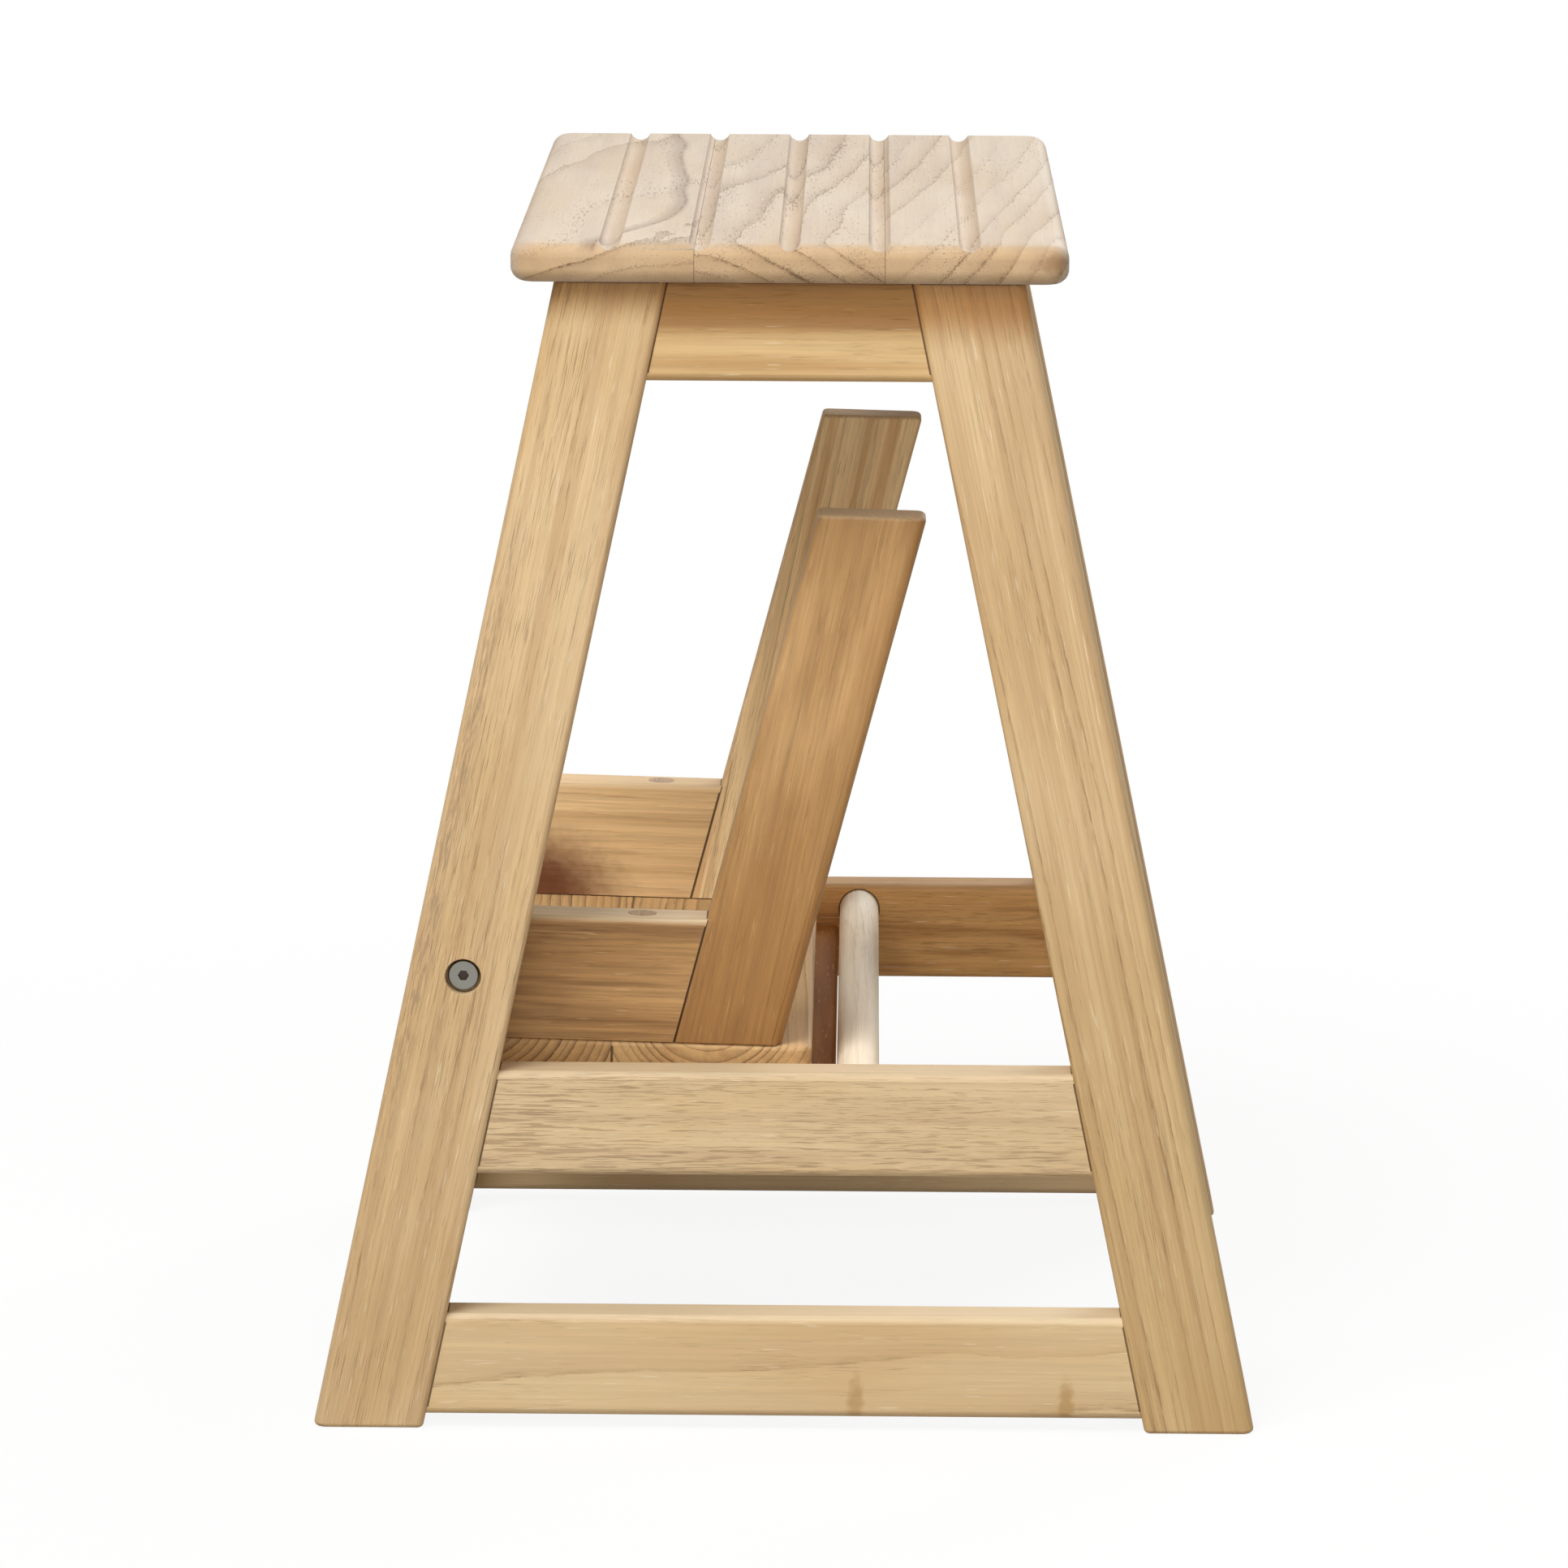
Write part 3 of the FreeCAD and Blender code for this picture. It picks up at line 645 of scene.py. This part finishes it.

# %% [markdown]
# ## Legs and rails
# The legs are sawn so that their rings stand on edge, which keeps them straight: fine lines run their
# whole length. A leg leans, so its grain leans with it. Close under the seat a painted shadow darkens
# the wood, a wash that fades downwards, and the near legs are painted a little darker towards the foot.
# Each rail is another piece of wood: the near middle rail is grey brown with many short pores, the
# bottom rail is smooth and yellow, the top rail is the warmest and carries the same painted shadow under
# the seat. A table holds what is special about each, so that one loop can dress them all.

# %% The legs' wood
LEG_SPLAY = math.radians(11.83)
FACE = {"left": (0, -1, 0), "right": (0, 1, 0)}
# A painted shadow under the seat: darker and browner near its underside, fading out about 30 mm below.
SEAT_SHADOW = (452.0, 474.0, (0.62, 0.44, 0.24))
LEG = {
    "pale": paint(226, 196, 150), "warm": paint(212, 175, 122), "bend": 3.0, "fibre": 0.2, "pores": 0.42,
    "washes": (SEAT_SHADOW,),
}
LEG_LOOKS = {
    "left_front_leg": {
        "heart": (-170.0, 30.0), "seed": 4.2, "porous": 0.03,
        # A deeper painted shadow under the seat, and a little darker towards the foot.
        "washes": ((463.0, 481.0, (0.50, 0.37, 0.20)), (300.0, 10.0, (0.93, 0.93, 0.92)))},
    "left_back_leg": {
        "heart": (160.0, 60.0), "spacing": 6.0, "seed": 5.9, "pores": 0.3, "line": 0.45, "late": 0.45,
        # The painted shadow under the seat, and darker towards the foot.
        "washes": (SEAT_SHADOW, (300.0, 100.0, (0.87, 0.84, 0.74)))},
    "right_front_leg": {"heart": (-140.0, -40.0), "seed": 6.4},
    "right_back_leg": {"heart": (150.0, 35.0), "seed": 7.7},
}
print("legs:", ", ".join(LEG_LOOKS))


# %% Dress the legs
def worn_edge(sheet, place):
    """Rain has greyed the grain beside the near front leg's outer edge."""
    across, along = along_axis(sheet, place, 0), along_axis(sheet, place, 2)
    beside = across.step(13.0, 17.0) * across.step(24.0, 19.0)
    length = along.step(-190.0, -60.0) * along.step(180.0, 60.0)
    spots = sheet.noise(place, (1.3, 1.3, 0.12), detail=3.0, roughness=0.6)
    return beside * length * spots.step(0.42, 0.62) * 0.6, paint(150, 126, 98)


for name, look in LEG_LOOKS.items():
    lean = -1 if "front" in name else 1
    side = name.split("_")[0]
    grain = (-lean * math.sin(LEG_SPLAY), 0.0, math.cos(LEG_SPLAY))
    marks = (worn_edge,) if name == "left_front_leg" else ()
    dress(name, wood("teak_" + name, middle(name), axes_along(grain, FACE[side]), marks, **{**LEG, **look}))
print("legs painted, leaning", round(math.degrees(LEG_SPLAY), 2), "degrees")

# %% The rails' wood
RAIL_LOOKS = {
    "top_rail": {
        "pale": paint(224, 190, 136), "warm": paint(208, 170, 114), "ring": paint(190, 148, 94),
        "band": paint(192, 148, 92), "bands": 0.7, "heart": (60.0, -90.0), "spacing": 9.0, "seed": 21.6,
        # A deeper painted shadow under the seat.
        "pores": 0.25, "line": 0.1, "washes": ((455.0, 472.0, (0.48, 0.33, 0.14)),)},
    "mid_rail": {
        "pale": paint(224, 197, 154), "warm": paint(216, 184, 134), "ring": paint(186, 152, 114),
        "band": paint(206, 174, 136), "pore": paint(138, 104, 74), "heart": (-60.0, -120.0), "spacing": 7.0,
        "seed": 21.6, "pores": 0.3, "porous": 0.06, "dash": 0.08, "pore_width": 2.0, "bend": 5.0,
        "line": 0.05, "late": 0.15},
    "bottom_rail": {
        "pale": paint(224, 196, 150), "warm": paint(214, 180, 128), "ring": paint(192, 156, 108),
        "band": paint(212, 180, 138), "painted_top_light": paint(224, 204, 170), "heart": (40.0, -75.0), "spacing": 9.0,
        "seed": 26.7, "pores": 0.25, "bend": 8.0, "line": 0.2, "late": 0.5, "fibre": 0.12},
}
FAR_MID_RAIL = {
    "pale": paint(236, 186, 118), "warm": paint(210, 154, 86), "band": paint(176, 122, 62),
    "pore": paint(104, 68, 38), "painted_top_light": paint(232, 196, 146), "bleached": 0.5,
    "bands": 0.9, "band_size": 0.22, "band_run": 0.012,
}
FAR_SIDE_SEED = 0.9
print("rails:", ", ".join(RAIL_LOOKS))


# %% Marks on the rails
def grey_strokes(sheet, place):
    """Greyed pores of the near middle rail, dense at its left end and along its lower edge."""
    strokes = sheet.noise(place, (1.3, 1.3, 0.055))
    left = along_axis(sheet, place, 2).step(-10.0, -110.0)
    low = along_axis(sheet, place, 0).step(-6.0, -14.0)
    dense = (left + low * 0.8).maths("MINIMUM", 1.0)
    return (strokes - (0.64 - dense * 0.13)).step(0.0, 0.07) * 0.5, paint(146, 114, 84)


STAIN = paint(184, 146, 92)
DRIP_SIZE = (16.0, 8.0, 4.5)
DRIPS = (
    blot((-16.0, 11.0, 30.0), DRIP_SIZE, STAIN, 0.7),
    blot((-16.0, 11.0, 118.0), DRIP_SIZE, STAIN, 0.8),
)
RAIL_MARKS = {"left_bottom_rail": DRIPS, "left_mid_rail": (grey_strokes,)}
print("rails with marks:", ", ".join(RAIL_MARKS))

# %% Dress the rails
for side in ("left", "right"):
    for kind, look in RAIL_LOOKS.items():
        name = f"{side}_{kind}"
        look = {**look, **FAR_MID_RAIL} if name == "right_mid_rail" else dict(look)
        look["seed"] += FAR_SIDE_SEED if side == "right" else 0.0
        along_rail = axes_along((1, 0, 0), FACE[side])
        dress(name, wood("teak_" + name, middle(name), along_rail, RAIL_MARKS.get(name, ()), **look))
print("rails painted")

# %% The two stretchers
STRETCHERS = {
    "flat_stretcher": {
        "pale": paint(190, 134, 76), "warm": paint(170, 114, 58), "band": paint(146, 94, 46),
        "ring": paint(120, 76, 38), "gloss": 0.15, "heart": (30.0, -60.0), "seed": 13.1},
    # The dowel is painted nearly white, a painted light that makes up for the seat's shade over it.
    "dowel_stretcher": {
        "pale": paint(255, 246, 226), "warm": paint(250, 232, 202), "band": paint(248, 228, 204),
        "ring": paint(224, 196, 160), "heart": (40.0, 30.0), "seed": 14.6, "pores": 0.2, "late": 0.4,
        "line": 0.1},
}
for name, look in STRETCHERS.items():
    dress(name, wood("teak_" + name, middle(name), ACROSS_Y, bleached=0.0, **look))
print("stretchers painted:", ", ".join(STRETCHERS))

# %% [markdown]
# ## The step
# The step was cut from darker, redder wood than the frame. Its tread's two boards have their hearts
# close by, so that the end rings fan both ways from the glue line. The bars have broad dark and light
# bands, and the legs are mottled. Stowed, the whole unit dips a little, so the grain of its bars and
# legs is turned by the same angle: otherwise the pores would run out of the boards.

# %% The tread
STEP = {
    "pale": paint(210, 172, 118), "warm": paint(196, 153, 98), "band": paint(186, 146, 98),
    "ring": paint(156, 114, 70), "pore": paint(108, 72, 42), "fleck": paint(226, 194, 146),
}
TREAD = {
    "pale": paint(218, 178, 120), "warm": paint(196, 150, 90), "ring": paint(88, 52, 22), "bleached": 0.1,
    "spacing": 3.4, "late": 1.0, "line": 1.0, "face_line": 0.35, "bend": 2.0, "jitter": 0.6, "ends": 0.0,
    "pores": 0.5,
}
TREAD_BOARDS = {
    "outer": {"heart": (1.0, 29.0), "seed": 15.2},
    "inner": {"heart": (17.0, 30.0), "seed": 16.8},
}
for place, look in TREAD_BOARDS.items():
    name = f"tread_board_{place}"
    dress(name, wood(f"teak_tread_{place}", middle(name), ACROSS_Y, **{**STEP, **TREAD, **look}))
print("tread boards painted:", ", ".join(TREAD_BOARDS))

# %% The side bars
STOWED_DIP = math.radians(1.4)
LIGHTER = {"pale": paint(242, 210, 160), "warm": paint(230, 194, 140), "band": paint(204, 162, 108)}
BAR_LOOKS = {
    "left": {
        "pale": paint(194, 152, 98), "warm": paint(168, 124, 70), "band": paint(128, 88, 46),
        "painted_top_light": paint(228, 206, 170), "bleached": 0.9, "fibre": 0.4, "bands": 0.7, "band_size": 0.2,
        "band_run": 0.012, "pores": 0.4, "line": 0.1, "seed": 21.5},
    "right": {
        **LIGHTER, "painted_top_light": paint(226, 200, 160), "bleached": 0.7, "fibre": 0.25, "bands": 0.4,
        "band_size": 0.25, "pores": 0.25, "line": 0.05, "seed": 22.5},
}
# A painted shadow: the lower corner of the far bar's inner face is darkened to deep brown.
corner_shadow = blot((27.0, -11.0, -32.0), (42.0, 8.0, 62.0), paint(98, 44, 0), 0.97, ragged=0.2)
bar_grain = (math.cos(STOWED_DIP), 0.0, -math.sin(STOWED_DIP))
for side, look in BAR_LOOKS.items():
    name = f"{side}_side_bar"
    marks = (corner_shadow,) if side == "right" else ()
    look = {**STEP, "heart": (90.0, -60.0), "spacing": 6.0, "bend": 4.0, **look}
    dress(name, wood("teak_" + name, middle(name), axes_along(bar_grain, FACE[side]), marks, **look))
print("bars painted")

# %% The step's legs
STEP_SPLAY = math.radians(13.4 - 1.4)
STEP_LEG_LOOKS = {
    "left": {
        "pale": paint(204, 162, 108), "warm": paint(182, 138, 82), "band": paint(166, 122, 70),
        "mottle": 0.95, "pores": 0.25, "line": 0.08, "late": 0.15, "fibre": 0.3, "bands": 0.5,
        "band_size": 0.1, "band_run": 0.02, "seed": 23.1, "washes": ((330.0, 165.0, (0.80, 0.72, 0.58)),)},
    # The far step leg is painted very pale, a painted light that makes up for the shade it stands in.
    "right": {
        "pale": paint(255, 228, 178), "warm": paint(246, 208, 150), "band": paint(206, 158, 100),
        "mottle": 0.6, "pores": 0.6, "porous": 0.05, "fibre": 0.35, "bands": 0.7, "seed": 24.1},
}
leg_grain = (math.sin(STEP_SPLAY), 0.0, math.cos(STEP_SPLAY))
for side, look in STEP_LEG_LOOKS.items():
    name = f"{side}_step_leg"
    look = {**STEP, "heart": (-120.0, 50.0), "spacing": 9.0, "bend": 6.0, **look}
    dress(name, wood("teak_" + name, middle(name), axes_along(leg_grain, FACE[side]), **look))
print("step's legs painted")

# %% [markdown]
# ## Plugs, dowels and hardware
# The plugs that hide the tread's screws are cut across the grain from another offcut, so they look like
# grey pink discs. The loose dowels are hidden, but they get plain beech. The bolts are turned steel
# with faint rings from the lathe, and the inserts are brass. A bolt's hexagon socket has no face of its
# own in the picture, it is a dark hole: a painted shade darkens and dulls the metal where a point is both
# near the bolt's axis and below the face of its head.

# %% Small wooden parts
PLUG = {
    "pale": paint(184, 158, 128), "warm": paint(172, 146, 116), "ring": paint(150, 122, 96), "pores": 0.4,
    "bleached": 0.0,
}
BEECH = {
    "pale": paint(222, 194, 156), "warm": paint(210, 178, 138), "ring": paint(190, 156, 116), "pores": 0.15,
}
UPRIGHT = axes_along((0, 0, 1), (1, 0, 0))
SMALL_PARTS = {
    "screw_plugs": (ACROSS_Y, {**PLUG, "seed": 21.0}),
    "seat_dowels": (UPRIGHT, {**BEECH, "seed": 22.0}),
    "step_dowels": (UPRIGHT, {**BEECH, "seed": 23.0}),
}
for name, (axes, look) in SMALL_PARTS.items():
    dress(name, wood("wooden_" + name, middle(name), axes, **look))
print("small wooden parts painted:", ", ".join(SMALL_PARTS))

# %% Turned metal
# The painted shade inside a bolt's hexagon socket.
SOCKET_SHADE = paint(58, 42, 26)


def socket_mask(sheet, radius, head_face):
    """1 inside the socket of a bolt whose head ends head_face millimetres from the stool's middle."""
    out = sheet.reach(sheet.coordinates("Object"), (0.0, 1000.0, 0.0)).maths("ABSOLUTE")
    return radius.step(2.7, 2.45) * out.step(head_face - 0.05, head_face - 0.4)


def turned_metal(name, centre, colour, roughness, head_face=None):
    """Metal turned about an axis along Y: fine rings, a few soft marks, and painted shade in a bolt's
    socket.
    """
    sheet = Sheet(bpy.data.materials.new(name))
    place = board_place(sheet, centre, ACROSS_Y)
    radius = sheet.length(sheet.vector("MULTIPLY", place, (1.0, 1.0, 0.0)))
    rings = sheet.noise_line(radius * 9.0, Detail=2.0)
    marks = sheet.noise(place, (0.5, 0.5, 0.5), detail=3.0)
    shade = sheet.blend(marks * 0.3, colour, tuple(level * 0.75 for level in colour))
    metal = 1.0
    if head_face:
        # Painted shade in the socket: darker, and less metallic so that it shows no glint.
        socket = socket_mask(sheet, radius, head_face)
        shade = sheet.blend(socket, shade, SOCKET_SHADE)
        metal = 1.0 - socket * 0.8
    bump = sheet.node("ShaderNodeBump", {}, {"Height": rings, "Distance": 0.00002, "Strength": 0.4})
    rough = roughness + rings * 0.08 + marks * 0.1
    return sheet.fill("Principled BSDF", Base_Color=shade, Roughness=rough, Normal=bump, Metallic=metal)


print("a socket is dark like", tuple(round(level, 3) for level in SOCKET_SHADE))

# %% Bolts, washers, inserts and screws
STEEL = paint(132, 130, 122)
BRASS = paint(204, 172, 106)
BRIGHT_STEEL = paint(190, 189, 186)
PIVOT_PARTS = {
    "pivot_bolt": (STEEL, 0.28),
    "pivot_washer": (STEEL, 0.34),
    "threaded_insert": (BRASS, 0.35),
}
for side in ("left", "right"):
    for kind, (colour, roughness) in PIVOT_PARTS.items():
        name = f"{side}_{kind}"
        reach = max(abs(corner.y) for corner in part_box(name)) * 1000.0
        head_face = reach if kind == "pivot_bolt" else None
        dress(name, turned_metal("turned_" + name, middle(name), colour, roughness, head_face))
for name in ("seat_screws", "tread_screws"):
    dress(name, turned_metal("drawn_" + name, middle(name), BRIGHT_STEEL, 0.35))
print("metal painted")

# %% [markdown]
# ## Floor, world and light
# The photograph has a plain white ground. A white sheet lit from all sides would throw far too much
# light up under the stool, so the floor and the room are white only for the camera and for what metal
# mirrors. For the light that falls on the wood, the floor is a soft grey and the room is dim and warm.
# Near the stool the floor still shows a part of its real shade, so that the stool stands on it. One
# large lamp high at the front left gives the side faces their shape, a broader one beside the camera
# fills the shades, a faint one lights the front edges, and one behind keeps the back readable.

# %% Which rays see white
def seen_by(sheet, *kinds):
    """1 for rays of any of these kinds, else 0."""
    found = [sheet.node("ShaderNodeLightPath", output=kind) for kind in kinds]
    either = found[0]
    for other in found[1:]:
        either = either.maths("MAXIMUM", other)
    return either


WHITE_FOR = ("Is Camera Ray", "Is Glossy Ray", "Is Transmission Ray")
print("white for:", ", ".join(WHITE_FOR))

# %% The floor
FLOOR_HALF = 30.0
FLOOR_GAP = 0.0002

bed = bmesh.new()
bmesh.ops.create_grid(bed, x_segments=2, y_segments=2, size=FLOOR_HALF)
bmesh.ops.translate(bed, verts=bed.verts, vec=(0.0, 0.0, -FLOOR_GAP))
floor_mesh = bpy.data.meshes.new("floor")
bed.to_mesh(floor_mesh)
bed.free()
floor = bpy.data.objects.new("floor", floor_mesh)
bpy.context.scene.collection.objects.link(floor)
print("floor laid,", FLOOR_HALF * 2, "m wide")

# %% The floor's paint
sheet = Sheet(bpy.data.materials.new("pale_floor"))
tone = sheet.blend(seen_by(sheet, "Is Camera Ray"), paint(150, 146, 140), paint(250, 250, 250))
sheet.fill("Principled BSDF", Base_Color=tone, Roughness=0.9)
shaded = Value(sheet, sheet.tree.nodes["Principled BSDF"].outputs[0])
glow = sheet.node("ShaderNodeEmission", {}, {"Color": (1.0, 1.0, 1.0), "Strength": 1.0})
away = sheet.length(sheet.coordinates("Object")).step(0.35, 1.1)
white_share = seen_by(sheet, *WHITE_FOR) * (0.9 + away * 0.1)
mixed = sheet.node("ShaderNodeMixShader", {}, {0: white_share, 1: shaded, 2: glow})
floor_mesh.materials.append(sheet.fill("Material Output", Surface=mixed))
print("floor painted")

# %% The world
AMBIENT = 0.16
WARM_ROOM = (1.0, 0.93, 0.84)

room = Sheet(bpy.data.worlds.new("white_room"))
white = seen_by(room, *WHITE_FOR)
colour = room.blend(white, WARM_ROOM, (1.0, 1.0, 1.0))
bpy.context.scene.world = room.fill("Background", Color=colour, Strength=AMBIENT + white * (1.0 - AMBIENT))
print("the room lights the wood with", AMBIENT)

# %% The lamps
STOOL_HEART = Vector((0.0, 0.0, 0.25))


def lamp(name, place, size, power):
    """A square soft lamp that faces the stool's middle."""
    light = bpy.data.lights.new(name, "AREA")
    light.shape = "SQUARE"
    light.size = size
    light.energy = power
    holder = bpy.data.objects.new(name, light)
    aim = (STOOL_HEART - place).to_track_quat("-Z", "Y")
    holder.matrix_world = Matrix.Translation(place) @ aim.to_matrix().to_4x4()
    bpy.context.scene.collection.objects.link(holder)


def polar(azimuth, elevation, distance):
    """A lamp's place, seen from the stool's middle. Azimuth 0 is the camera's side, negative is left."""
    turn, rise = math.radians(azimuth), math.radians(elevation)
    flat = distance * math.cos(rise)
    return STOOL_HEART + Vector((flat * math.sin(turn), -flat * math.cos(turn), distance * math.sin(rise)))


LAMPS = {
    "key": ((-30, 56, 3.5), 1.6, 86.0),
    "fill": ((4, 20, 3.5), 2.6, 50.0),
    "side": ((-72, 22, 3.0), 1.2, 4.0),
    "back": ((150, 32, 3.2), 1.4, 38.0),
}
for name, (direction, size, power) in LAMPS.items():
    lamp(name, polar(*direction), size, power)
